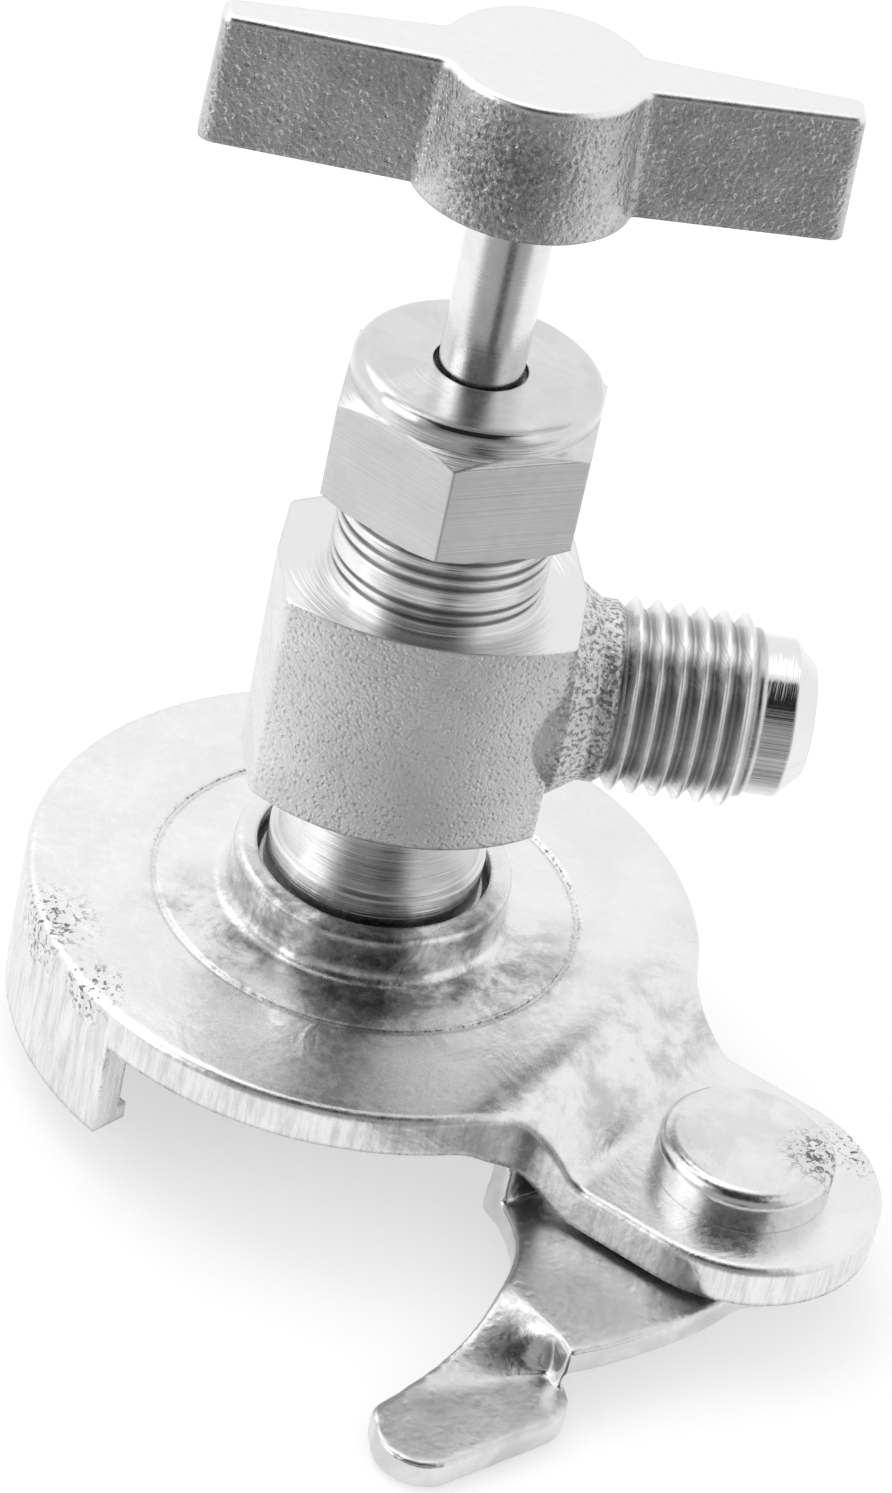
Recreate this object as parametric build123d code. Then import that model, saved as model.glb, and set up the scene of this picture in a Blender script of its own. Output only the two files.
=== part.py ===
"""Refrigerant can tap: side-clamping plate, screw-down piercing valve, 1/4 in flare outlet.

Millimetres. +Z is up along the stem. The origin is on the stem axis at the underside of the
clamp plate, which is also the sealing face of the can gasket. +X points out of the outlet.
"""
from build123d import *
import math
import os

# ---- clearances ---------------------------------------------------------------------------
RUN_FIT = 0.06          # radial play of a part that turns or slides in another
LOOSE_FIT = 0.3         # radial play where threads are drawn as plain cylinders
FACE_GAP = 0.3          # gap between faces that pass each other

# ---- clamp plate --------------------------------------------------------------------------
SHEET = 2.6             # thickness of the stamped plate
PLATE_R = 20.0
PLATE_EDGE = 0.45
COLLAR_BORE_R = 6.9
COLLAR_WALL = 1.3
COLLAR_H = 3.0          # above the top of the plate
COLLAR_ROOT = 0.8
COIN_R = 12.7           # shallow ring coined in the top face
COIN_W = 0.3
COIN_D = 0.12
COUNTERBORE_R = 7.9     # recess for the stop ring, open to the underside
COUNTERBORE_D = 2.9

JAW_FROM = 46.0         # fixed jaw, degrees about +Z
JAW_TO = 225.3
JAW_WALL = 1.8          # the jaw is drawn thinner than the plate
JAW_BEND_R = 4.0        # outside of the bend from plate to jaw
JAW_BOTTOM = -6.25
JAW_LIP = 0.6
JAW_LIP_H = 1.1

EAR_ANGLE = -34.6       # direction of the pivot ear from the stem axis
EAR_REACH = 27.4        # stem axis to pivot axis
EAR_R = 8.3
EAR_DROP = 4.0          # how far the ear lies below the plate
JOGGLE_FROM = 17.0
JOGGLE_TO = 21.3
JOGGLE_BEND_R = 2.9     # at the middle of the sheet
TONGUE_BLEND = 3.0

# ---- pivot --------------------------------------------------------------------------------
RIVET_R = 2.5
RIVET_HEAD_R = 5.15
RIVET_HEAD_H = 2.5
RIVET_HEAD_EDGE = 0.9
RIVET_TAIL_R = 3.7
RIVET_TAIL_H = 1.2
FRICTION_WASHER_R = 6.2
FRICTION_WASHER_T = 0.4
TAIL_WASHER_R = 5.2
TAIL_WASHER_T = 0.8

# ---- swing lever --------------------------------------------------------------------------
LEVER_T = 1.8
LEVER_EYE_R = 7.8
LEVER_EYE_SHIFT = Vector(0.9, 1.9)  # middle of the rounded end from the pivot axis
LEVER_OUTER_R = 32.0    # front edge, about the stem axis
LEVER_FRONT_TO = -43.5
LEVER_FRONT_MIDDLE = -56.0
LEVER_FRONT_FROM = -66.3
LEVER_EYE_INNER = 150.0  # where the lever's sides leave its rounded end, from the ear's direction
LEVER_EYE_FRONT = -37.0
MOVING_JAW_R = 19.9     # outside of the upturned jaw, about the stem axis
MOVING_JAW_FROM = -62.5
MOVING_JAW_TO = -52.0
MOVING_JAW_TOP = -1.8
MOVING_JAW_SLOPE = 1.4  # fall of the jaw's top edge toward the ear, mm per mm
WAIST_R = 24.0          # narrowest place of the lever's free side, about the stem axis
WAIST_ANGLE = -65.0
PAD_ANGLE = -60.0       # direction in which the thumb pad points
PAD_DROP = 2.7
PAD_LENGTH = 4.9
PAD_WIDTH = 11.8
PAD_INNER = 29.2        # inner edge of the pad, from the stem axis along PAD_ANGLE
PAD_SIDE = -9.0         # middle of the pad, across PAD_ANGLE
PAD_CORNER = 2.3
PAD_SKEW = 6.0          # the pad's outer edge runs askew to its bend
BEND_OVERLAP = 0.6      # how far the bent web runs into the flats that it joins

# ---- valve body ---------------------------------------------------------------------------
BODY_FOOT = 0.4
BODY_BOTTOM = 12.5
BODY_TOP = 25.66
BODY_CORNER = 0.7
FORGING_BACK = (-8.95, 0.0)      # corners of the forging's plan, half of it, as (x, y)
FORGING_BACK_SIDE = (-8.3, -4.94)
FORGING_FRONT_SIDE = (8.0, -5.5)
FORGING_FRONT = (8.65, 0.0)
CROWN_BOTTOM = (-0.2, -8.24)     # middle of the bulging side at the forging's bottom
CROWN_TOP = (-1.0, -7.4)         # and at its top
NOSE_R = COLLAR_BORE_R - LOOSE_FIT
NOSE_TOP = 4.4
STEP_RING_R = 6.35
STEP_RING_TOP = 7.05
LOWER_NECK_R = 5.9
UPPER_NECK_R = 6.15
UPPER_NECK_GROOVES = ((26.5, 0.4), (27.2, 0.35), (28.8, 0.4), (29.6, 0.4), (30.5, 0.35))  # height, width
UPPER_NECK_GROOVE_D = 0.4
NUT_THREAD_R = 5.2
BODY_RIM = 36.6

OUTLET_Z = 19.37
OUTLET_BORE_R = 2.2
OUTLET_ROOT_R = 5.25
OUTLET_BOSS_R = 6.3
OUTLET_BOSS_X = 9.9
OUTLET_BOSS_FALL = 1.6  # length over which the boss narrows to the outlet's root
FLARE_THREAD_R = 5.556
FLARE_PITCH = 1.27
FLARE_THREAD_D = 0.69
FLARE_THREAD_X = 11.3
FLARE_TURNS = 6
THREAD_HALF_ANGLE = math.radians(30.0)
THREAD_LEAD = 0.5
THREAD_ROOT_FROM = 0.01  # narrow flats at the thread's root, before and after each ridge
THREAD_ROOT_TO = 0.1
FLARE_RELIEF = 2.0      # length of the nose
FLARE_NOSE_R = 4.6
FLARE_NOSE_X = 21.2
FLARE_TIP_X = 22.5

PASSAGE_R = 2.1
SEAT_R = 3.2
SEAT_BOTTOM = 10.4
SEAT_T = 1.5
STEM_THREAD_R = 3.0
THREAD_BORE_R = STEM_THREAD_R + LOOSE_FIT
CHAMBER_R = 4.0         # undercut where the outlet's bore meets the stem's
CHAMBER_BOTTOM = 16.5
CHAMBER_TOP = 22.2

# ---- can seal -----------------------------------------------------------------------------
GASKET_R = 4.9
GASKET_HOLE_R = 1.9
GASKET_T = 2.7
BACKING_T = 0.5
STOP_RING_GROOVE_R = 6.0
STOP_RING_R = 7.55
STOP_RING_Z = 0.9
STOP_RING_T = 0.7
STOP_RING_PLAY = 0.1

# ---- stem, needle and handle --------------------------------------------------------------
STEM_R = 2.375
STEM_FOOT = 20.5
STEM_THREAD_TOP = 29.2
STEM_TOP = 56.6
NEEDLE_R = 1.5
NEEDLE_HEAD_R = 2.75
NEEDLE_HEAD_T = 1.2
NEEDLE_CONE_H = 1.25
NEEDLE_TIP = 0.8
NEEDLE_POINT_H = 3.4
NEEDLE_POINT_R = 0.15
SPIGOT_R = 1.3
SPIGOT_H = 3.0
CLIP_Z = 22.4
CLIP_T = 0.5
CLIP_INNER_R = 1.0
CLIP_OUTER_R = 1.6

HANDLE_BOTTOM = 51.0
HANDLE_TOP = 58.6
HUB_TOP_R = 5.65
HUB_BOTTOM_R = 6.15
WING_LENGTH = 17.0      # stem axis to wing tip
WING_ROOT_HALF = 2.4
WING_TIP_HALF = 1.1
WING_DRAFT = 2.5        # degrees, wider toward the bottom
WING_LIFT = 0.35        # wing bottom above hub bottom
HANDLE_EDGE = 0.35
HUB_BLEND = 0.8

# ---- packing ------------------------------------------------------------------------------
BOX_R = 4.0
BOX_FLOOR = 29.4
BASE_WASHER_T = 0.8
PACKING_T = 1.6
PACKING_NAMES = ("packing_ring_lower", "packing_ring_middle", "packing_ring_upper")
GLAND_H = 2.7
NUT_FLATS = 14.0
NUT_BOTTOM = 31.4
NUT_HEX_TOP = 37.5
NUT_CHAMFER = math.radians(30.0)
NUT_BOSS_R = 7.0
NUT_BOSS_EDGE = 0.75
NUT_TOP = 39.55
NUT_STEM_HOLE_R = 2.65
NUT_TURN = 22.1         # degrees about +Z
NUT_CHAMFER_H = 0.58    # how far the chamfer cuts down the hexagon's corners
HEX_HALF_ANGLE = math.radians(30.0)

ORIGIN_TO_PIVOT = Vector(EAR_REACH, 0, 0).rotate(Axis.Z, EAR_ANGLE)
EAR_BOTTOM = -EAR_DROP
LEVER_TOP = EAR_BOTTOM - FRICTION_WASHER_T
LEVER_BOTTOM = LEVER_TOP - LEVER_T
ABOVE_ALL = 80.0        # tool bodies reach at least this far
PAST = 1.0              # how far shapes run past a surface that they cut or join
NEAR = 0.01             # tolerance for picking edges
NEAR_OUTLINE = 0.05
FACES_UP = 0.5          # least Z of the normal of a face counted as a top face


def turned(*profile):
    """Solid turned about +Z from its (radius, height) corners."""
    return revolve(make_face(Plane.XZ * Polyline(*profile, close=True)), Axis.Z)


def ring(inner, outer, bottom, top):
    """Plain ring or, with inner 0, a disc."""
    return turned((inner, bottom), (outer, bottom), (outer, top), (inner, top))


def prism(face, bottom, top):
    """Flat outline pulled straight up from one height to another."""
    return extrude(Pos(0, 0, bottom) * face, top - bottom)


def sector(inner, outer, start, stop, bottom, top):
    """Part of a ring between two angles about +Z."""
    turn = Rot(0, 0, start)
    face = turn * make_face(Plane.XZ * Polyline((inner, bottom), (outer, bottom), (outer, top),
                                                (inner, top), close=True))
    return revolve(face, Axis.Z, stop - start)


def fillet_circles(part, radius, centre_z, size):
    """Round the circular edges of one radius at one height."""
    picked = [e for e in part.edges().filter_by(GeomType.CIRCLE)
              if abs(e.center().Z - centre_z) < NEAR and abs(e.radius - radius) < NEAR]
    return fillet(picked, size)


def at_pivot(part):
    """Move a part made on the origin to the pivot axis."""
    return Pos(ORIGIN_TO_PIVOT.X, ORIGIN_TO_PIVOT.Y, 0) * part


# ---- clamp plate --------------------------------------------------------------------------
def joggle_profile():
    """Side section of the plate and its stepped-down ear, along the ear's direction."""
    slope = math.atan2(EAR_DROP, JOGGLE_TO - JOGGLE_FROM)
    shift = SHEET / 2 * math.tan(slope / 2)
    middle = SHEET / 2
    far = EAR_REACH + EAR_R + SHEET
    line = FilletPolyline((-PLATE_R - SHEET, middle), (JOGGLE_FROM - shift, middle),
                          (JOGGLE_TO - shift, middle - EAR_DROP), (far, middle - EAR_DROP),
                          radius=JOGGLE_BEND_R)
    return Plane.XZ * trace(line, SHEET)


def plate_outline():
    """Round plate joined to the rounded tongue of the ear."""
    tongue = Pos(EAR_REACH / 2, 0) * Rectangle(EAR_REACH, 2 * EAR_R)
    outline = Circle(PLATE_R) + tongue + Pos(EAR_REACH, 0) * Circle(EAR_R)
    necks = [v for v in outline.vertices() if JOGGLE_FROM < v.X < JOGGLE_TO]
    return fillet(necks, TONGUE_BLEND)


def clamp_plate():
    """Stamped sheet: plate, drawn collar, fixed jaw with its lip, and the joggled ear."""
    stock = extrude(joggle_profile(), PLATE_R + SHEET, both=True)
    sheet = stock & prism(plate_outline(), -ABOVE_ALL, ABOVE_ALL)
    sheet = fillet(outer_top_edges(sheet), PLATE_EDGE)
    sheet = Rot(0, 0, EAR_ANGLE) * sheet
    collar_r = COLLAR_BORE_R + COLLAR_WALL
    sheet += ring(0, collar_r, SHEET / 2, SHEET + COLLAR_H)
    sheet = fillet_circles(sheet, collar_r, SHEET, COLLAR_ROOT)
    sheet = fillet_circles(sheet, collar_r, SHEET + COLLAR_H, PLATE_EDGE)
    sheet -= ring(0, COLLAR_BORE_R, -SHEET, ABOVE_ALL)
    sheet -= ring(0, COUNTERBORE_R, -SHEET, COUNTERBORE_D)
    sheet -= ring(COIN_R - COIN_W, COIN_R, SHEET - COIN_D, SHEET + COIN_D)
    jaw_inner = PLATE_R - JAW_WALL
    sheet += sector(jaw_inner, PLATE_R, JAW_FROM, JAW_TO, JAW_BOTTOM, SHEET - JAW_BEND_R / 2)
    sheet += sector(jaw_inner - JAW_LIP, PLATE_R - JAW_WALL / 2, JAW_FROM, JAW_TO, JAW_BOTTOM,
                    JAW_BOTTOM + JAW_LIP_H)
    sheet -= jaw_bend_tool()
    return sheet - at_pivot(ring(0, RIVET_R + RUN_FIT, -ABOVE_ALL, ABOVE_ALL))


def jaw_bend_tool():
    """What lies outside the rounded bend from the plate down to the fixed jaw."""
    middle_r = PLATE_R - JAW_BEND_R
    middle_z = SHEET - JAW_BEND_R
    square = Pos(middle_r + JAW_BEND_R, middle_z + JAW_BEND_R) * Rectangle(2 * JAW_BEND_R,
                                                                         2 * JAW_BEND_R)
    corner = square - Pos(middle_r, middle_z) * Circle(JAW_BEND_R)
    return revolve(Rot(0, 0, JAW_FROM) * Plane.XZ * corner, Axis.Z, JAW_TO - JAW_FROM)


def outer_top_edges(sheet):
    """Edges around the upper face of the stamped sheet."""
    edges = []
    for face in sheet.faces():
        if face.normal_at().Z > FACES_UP:
            edges += [e for e in face.edges() if on_outline(e)]
    return ShapeList(edges)


def on_outline(edge):
    """True for an edge that lies on the plate's outside, false for one across a bend."""
    middle = edge.position_at(0.5)
    across = abs(middle.Y)
    on_disc = abs(math.hypot(middle.X, middle.Y) - PLATE_R) < NEAR_OUTLINE
    on_eye = abs(math.hypot(middle.X - EAR_REACH, middle.Y) - EAR_R) < NEAR_OUTLINE
    beside = middle.X > JOGGLE_FROM - SHEET and across > EAR_R - NEAR_OUTLINE
    return on_disc or on_eye or beside


# ---- pivot --------------------------------------------------------------------------------
def pivot_rivet():
    """Headed rivet through the ear and the lever, upset against the tail washer."""
    head_bottom = SHEET - EAR_DROP
    head_top = head_bottom + RIVET_HEAD_H
    tail_top = LEVER_BOTTOM - TAIL_WASHER_T
    head = ring(0, RIVET_HEAD_R, head_bottom, head_top)
    head = fillet_circles(head, RIVET_HEAD_R, head_top, RIVET_HEAD_EDGE)
    shank = ring(0, RIVET_R, tail_top, head_bottom)
    tail = ring(0, RIVET_TAIL_R, tail_top - RIVET_TAIL_H, tail_top)
    tail = fillet_circles(tail, RIVET_TAIL_R, tail_top - RIVET_TAIL_H, RIVET_TAIL_H / 2)
    return at_pivot(head + shank + tail)


def friction_washer():
    """Thin washer between the ear and the lever."""
    return at_pivot(ring(RIVET_R + RUN_FIT, FRICTION_WASHER_R, LEVER_TOP, EAR_BOTTOM))


def rivet_washer():
    """Washer under the lever, against which the rivet is upset."""
    return at_pivot(ring(RIVET_R + RUN_FIT, TAIL_WASHER_R, LEVER_BOTTOM - TAIL_WASHER_T,
                         LEVER_BOTTOM))


# ---- swing lever --------------------------------------------------------------------------
def polar(radius, angle):
    """Point of the plan at a radius and angle about the stem axis."""
    return (radius * math.cos(math.radians(angle)), radius * math.sin(math.radians(angle)))


def pad_point(along, across):
    """Point of the plan measured along and across the thumb pad's direction."""
    turn = math.radians(PAD_ANGLE)
    return (along * math.cos(turn) - across * math.sin(turn),
            along * math.sin(turn) + across * math.cos(turn))


def lever_outline():
    """Flat part of the lever from the eye to the start of the thumb pad."""
    eye = ORIGIN_TO_PIVOT + LEVER_EYE_SHIFT
    inner = Vector(LEVER_EYE_R, 0, 0).rotate(Axis.Z, EAR_ANGLE + LEVER_EYE_INNER) + eye
    front = Vector(LEVER_EYE_R, 0, 0).rotate(Axis.Z, EAR_ANGLE + LEVER_EYE_FRONT) + eye
    jaw_inner = MOVING_JAW_R - LEVER_T
    jaw_middle = (MOVING_JAW_FROM + MOVING_JAW_TO) / 2
    shoulder = shoulder_point()
    corner = front_corner()
    front_middle = polar(LEVER_OUTER_R, LEVER_FRONT_MIDDLE)
    web = make_face(
        Line((inner.X, inner.Y), polar(jaw_inner, MOVING_JAW_TO))
        + ThreePointArc(polar(jaw_inner, MOVING_JAW_TO), polar(jaw_inner, jaw_middle),
                        polar(jaw_inner, MOVING_JAW_FROM))
        + Line(polar(jaw_inner, MOVING_JAW_FROM), polar(MOVING_JAW_R, MOVING_JAW_FROM))
        + Spline(polar(MOVING_JAW_R, MOVING_JAW_FROM), polar(WAIST_R, WAIST_ANGLE), shoulder)
        + Line(shoulder, corner)
        + ThreePointArc(corner, front_middle, polar(LEVER_OUTER_R, LEVER_FRONT_TO))
        + Line(polar(LEVER_OUTER_R, LEVER_FRONT_TO), (front.X, front.Y))
        + Line((front.X, front.Y), (eye.X, eye.Y))
        + Line((eye.X, eye.Y), (inner.X, inner.Y)))
    return web + Pos(eye.X, eye.Y) * Circle(LEVER_EYE_R)


def shoulder_point():
    """Where the free side of the lever starts to bend down to the pad."""
    return pad_point(PAD_INNER - PAD_LENGTH / 2, PAD_SIDE + PAD_CORNER)


def front_corner():
    """Where the front edge of the lever ends at the pad."""
    return polar(LEVER_OUTER_R, LEVER_FRONT_FROM)


def thumb_pad():
    """Rounded pad below the lever, with the bent web that joins them."""
    centre = pad_point(PAD_INNER + PAD_LENGTH / 2, PAD_SIDE)
    outline = RectangleRounded(PAD_LENGTH + BEND_OVERLAP, PAD_WIDTH, PAD_CORNER)
    pad_face = Pos(*centre) * Rot(0, 0, PAD_ANGLE + PAD_SKEW) * outline
    pad = prism(pad_face, LEVER_BOTTOM - PAD_DROP, LEVER_TOP - PAD_DROP)
    back = pad_point(-BEND_OVERLAP, 0)
    shoulder = shoulder_point()
    corner = front_corner()
    top_left = (shoulder[0] + back[0], shoulder[1] + back[1])
    top_right = (corner[0] + back[0], corner[1] + back[1])
    low_left = pad_point(PAD_INNER + BEND_OVERLAP, PAD_SIDE - PAD_WIDTH / 2 + PAD_CORNER)
    low_right = pad_point(PAD_INNER + PAD_CORNER, PAD_SIDE + PAD_WIDTH / 2 - BEND_OVERLAP)
    web = loft([standing_face(top_left, top_right, LEVER_BOTTOM, LEVER_TOP),
                standing_face(low_left, low_right, LEVER_BOTTOM - PAD_DROP, LEVER_TOP - PAD_DROP)],
               ruled=True)
    return pad + web


def standing_face(start, stop, bottom, top):
    """Upright rectangle over a line of the plan."""
    return make_face(Polyline((*start, bottom), (*stop, bottom), (*stop, top), (*start, top),
                              close=True))


def moving_jaw():
    """Upturned end of the lever that bears on the side of the can's rim."""
    wall = sector(MOVING_JAW_R - LEVER_T, MOVING_JAW_R, MOVING_JAW_FROM, MOVING_JAW_TO,
                  LEVER_BOTTOM, MOVING_JAW_TOP)
    reach = (MOVING_JAW_R - LEVER_T) * math.cos(math.radians(MOVING_JAW_FROM - EAR_ANGLE))
    fall = ABOVE_ALL
    wedge = make_face(Plane.XZ * Polyline(
        (reach, MOVING_JAW_TOP), (reach + fall, MOVING_JAW_TOP - MOVING_JAW_SLOPE * fall),
        (reach + fall, fall), (reach, fall), close=True))
    return wall - Rot(0, 0, EAR_ANGLE) * extrude(wedge, PLATE_R, both=True)


def swing_lever():
    """Stamped lever with its eye, moving jaw and thumb pad."""
    flat = prism(lever_outline(), LEVER_BOTTOM, LEVER_TOP)
    hole = at_pivot(ring(0, RIVET_R + RUN_FIT, -ABOVE_ALL, ABOVE_ALL))
    return flat + moving_jaw() + thumb_pad() - hole


# ---- valve body ---------------------------------------------------------------------------
def forged_section(height, crown):
    """Section of the forging: flat back and front, and sides that bulge to a crown."""
    near = (Polyline(FORGING_BACK, FORGING_BACK_SIDE)
            + ThreePointArc(FORGING_BACK_SIDE, crown, FORGING_FRONT_SIDE)
            + Line(FORGING_FRONT_SIDE, FORGING_FRONT))
    outline = make_face(near + mirror(near, Plane.XZ))
    corners = [v for v in outline.vertices() if abs(v.Y) > PAST]
    return Pos(0, 0, height) * fillet(corners, BODY_CORNER)


def outlet():
    """Flare outlet along +X: forged boss, threaded length and 45 degree nose."""
    crest_half = FLARE_PITCH / 2 - FLARE_THREAD_D * math.tan(THREAD_HALF_ANGLE)
    root = FLARE_THREAD_R - FLARE_THREAD_D
    corners = [(0, 0), (OUTLET_BOSS_R, 0), (OUTLET_BOSS_R, OUTLET_BOSS_X - OUTLET_BOSS_FALL),
               (OUTLET_ROOT_R, OUTLET_BOSS_X), (OUTLET_ROOT_R, FLARE_THREAD_X - THREAD_LEAD),
               (root, FLARE_THREAD_X)]
    for turn in range(FLARE_TURNS):
        start = FLARE_THREAD_X + turn * FLARE_PITCH
        rise = (FLARE_PITCH - crest_half) / 2
        corners += [(root, start + THREAD_ROOT_FROM), (FLARE_THREAD_R, start + rise),
                    (FLARE_THREAD_R, start + rise + crest_half / 2),
                    (root, start + FLARE_PITCH - THREAD_ROOT_TO)]
    corners += [(root, FLARE_NOSE_X - FLARE_RELIEF),
                (FLARE_NOSE_R, FLARE_NOSE_X - FLARE_RELIEF + THREAD_ROOT_TO),
                (FLARE_NOSE_R, FLARE_NOSE_X),
                (FLARE_NOSE_R - (FLARE_TIP_X - FLARE_NOSE_X), FLARE_TIP_X), (0, FLARE_TIP_X)]
    return Pos(0, 0, OUTLET_Z) * Rot(0, 90, 0) * turned(*corners)


def valve_body():
    """Forged body with both necks, the outlet and every bore."""
    forging = loft([forged_section(BODY_BOTTOM, CROWN_BOTTOM),
                    forged_section(BODY_TOP, CROWN_TOP)], ruled=True)
    necks = turned((0, BODY_FOOT), (NOSE_R, BODY_FOOT), (NOSE_R, NOSE_TOP),
                   (STEP_RING_R, NOSE_TOP), (STEP_RING_R, STEP_RING_TOP),
                   (LOWER_NECK_R, STEP_RING_TOP), (LOWER_NECK_R, BODY_BOTTOM + PAST),
                   (UPPER_NECK_R, BODY_BOTTOM + PAST), (UPPER_NECK_R, NUT_BOTTOM),
                   (NUT_THREAD_R, NUT_BOTTOM), (NUT_THREAD_R, BODY_RIM), (0, BODY_RIM))
    body = forging + outlet() + necks
    for middle, width in UPPER_NECK_GROOVES:
        body -= ring(UPPER_NECK_R - UPPER_NECK_GROOVE_D, UPPER_NECK_R + PAST, middle - width / 2,
                     middle + width / 2)
    body -= ring(STOP_RING_GROOVE_R, NOSE_R + PAST, STOP_RING_Z,
                 STOP_RING_Z + STOP_RING_T + STOP_RING_PLAY)
    return body - body_bores()


def body_bores():
    """Gasket pocket, passage, seat pocket, chamber, thread bore, packing box and outlet bore."""
    pocket_top = GASKET_T + BACKING_T
    seat_top = SEAT_BOTTOM + SEAT_T
    bores = turned((0, 0), (GASKET_R + RUN_FIT, 0), (GASKET_R + RUN_FIT, pocket_top),
                   (PASSAGE_R, pocket_top), (PASSAGE_R, SEAT_BOTTOM), (SEAT_R, SEAT_BOTTOM),
                   (SEAT_R, seat_top), (THREAD_BORE_R, seat_top), (THREAD_BORE_R, CHAMBER_BOTTOM),
                   (CHAMBER_R, CHAMBER_BOTTOM), (CHAMBER_R, CHAMBER_TOP),
                   (THREAD_BORE_R, CHAMBER_TOP), (THREAD_BORE_R, BOX_FLOOR), (BOX_R, BOX_FLOOR),
                   (BOX_R, ABOVE_ALL), (0, ABOVE_ALL))
    side = Pos(0, 0, OUTLET_Z) * Rot(0, 90, 0) * ring(0, OUTLET_BORE_R, 0, ABOVE_ALL)
    return bores + side


def seat_ring():
    """Soft seat that the needle's cone closes."""
    return ring(PASSAGE_R, SEAT_R - RUN_FIT, SEAT_BOTTOM, SEAT_BOTTOM + SEAT_T)


def neck_stop_ring():
    """Snap ring near the body's foot that keeps the body from unscrewing out of the collar."""
    return ring(STOP_RING_GROOVE_R + RUN_FIT, STOP_RING_R, STOP_RING_Z, STOP_RING_Z + STOP_RING_T)


# ---- can seal -----------------------------------------------------------------------------
def can_gasket():
    """Rubber gasket that seals on the top of the can."""
    return ring(GASKET_HOLE_R, GASKET_R, 0, GASKET_T)


def gasket_backing_washer():
    """Slip washer behind the gasket, so that the body turns and the gasket does not."""
    return ring(GASKET_HOLE_R, GASKET_R, GASKET_T, GASKET_T + BACKING_T)


# ---- stem and needle ----------------------------------------------------------------------
def stem():
    """Screwed stem with the needle's socket in its foot and the handle on its top."""
    body = turned((0, STEM_FOOT), (STEM_THREAD_R, STEM_FOOT), (STEM_THREAD_R, STEM_THREAD_TOP),
                  (STEM_R, STEM_THREAD_TOP), (STEM_R, STEM_TOP), (0, STEM_TOP))
    socket = ring(0, SPIGOT_R + RUN_FIT, 0, STEM_FOOT + SPIGOT_H + FACE_GAP)
    groove = ring(0, CLIP_OUTER_R + RUN_FIT, CLIP_Z, CLIP_Z + CLIP_T + RUN_FIT)
    return body - socket - groove


def piercing_needle():
    """Pointed needle with a seat cone, a thrust head and a spigot that swivels in the stem."""
    head_bottom = STEM_FOOT - NEEDLE_HEAD_T
    cone_bottom = head_bottom - NEEDLE_CONE_H
    body = turned((0, NEEDLE_TIP), (NEEDLE_POINT_R, NEEDLE_TIP),
                  (NEEDLE_R, NEEDLE_TIP + NEEDLE_POINT_H), (NEEDLE_R, cone_bottom),
                  (NEEDLE_HEAD_R, head_bottom), (NEEDLE_HEAD_R, STEM_FOOT), (SPIGOT_R, STEM_FOOT),
                  (SPIGOT_R, STEM_FOOT + SPIGOT_H), (0, STEM_FOOT + SPIGOT_H))
    return body - ring(CLIP_INNER_R - RUN_FIT, SPIGOT_R + PAST, CLIP_Z, CLIP_Z + CLIP_T)


def needle_clip():
    """Wire clip that keeps the spigot in the stem."""
    return ring(CLIP_INNER_R, CLIP_OUTER_R, CLIP_Z, CLIP_Z + CLIP_T)


# ---- handle -------------------------------------------------------------------------------
def handle_wing():
    """One tapered wing along +X, drafted like a die casting."""
    outline = make_face(Polyline((0, -WING_ROOT_HALF), (WING_LENGTH, -WING_TIP_HALF),
                                 (WING_LENGTH, WING_TIP_HALF), (0, WING_ROOT_HALF), close=True))
    tip_corners = [v for v in outline.vertices() if v.X > WING_LENGTH / 2]
    outline = fillet(tip_corners, WING_TIP_HALF / 2)
    height = HANDLE_TOP - HANDLE_BOTTOM - WING_LIFT
    return Pos(0, 0, HANDLE_TOP) * extrude(outline, height, dir=(0, 0, -1), taper=-WING_DRAFT)


def handle():
    """Cast two-winged handle pressed on the stem."""
    hub = turned((0, HANDLE_BOTTOM), (HUB_BOTTOM_R, HANDLE_BOTTOM), (HUB_TOP_R, HANDLE_TOP),
                 (0, HANDLE_TOP))
    body = hub + handle_wing() + Rot(0, 0, 180) * handle_wing()
    middle = (HANDLE_TOP + HANDLE_BOTTOM) / 2
    inner_corners = [e for e in body.edges()
                     if e.length > HANDLE_TOP - HANDLE_BOTTOM - 2 * WING_LIFT
                     and abs(e.center().Z - middle) < 2 * WING_LIFT
                     and math.hypot(e.center().X, e.center().Y) < WING_LENGTH / 2]
    body = fillet(inner_corners, HUB_BLEND)
    top_edges = [e for e in body.edges() if abs(e.center().Z - HANDLE_TOP) < NEAR]
    body = fillet(top_edges, HANDLE_EDGE)
    return body - ring(0, STEM_R + RUN_FIT / 2, 0, STEM_TOP)


# ---- packing ------------------------------------------------------------------------------
def packing_base_washer():
    """Metal washer on the floor of the packing box."""
    return ring(STEM_R + RUN_FIT, BOX_R - RUN_FIT, BOX_FLOOR, BOX_FLOOR + BASE_WASHER_T)


def packing_ring(index):
    """One soft packing ring, counted from the bottom."""
    bottom = BOX_FLOOR + BASE_WASHER_T + index * PACKING_T
    return ring(STEM_R + RUN_FIT, BOX_R - RUN_FIT, bottom, bottom + PACKING_T)


def gland_follower():
    """Sleeve that the nut presses onto the packing."""
    bottom = BOX_FLOOR + BASE_WASHER_T + len(PACKING_NAMES) * PACKING_T
    return ring(STEM_R + RUN_FIT, BOX_R - RUN_FIT, bottom, bottom + GLAND_H)


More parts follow.
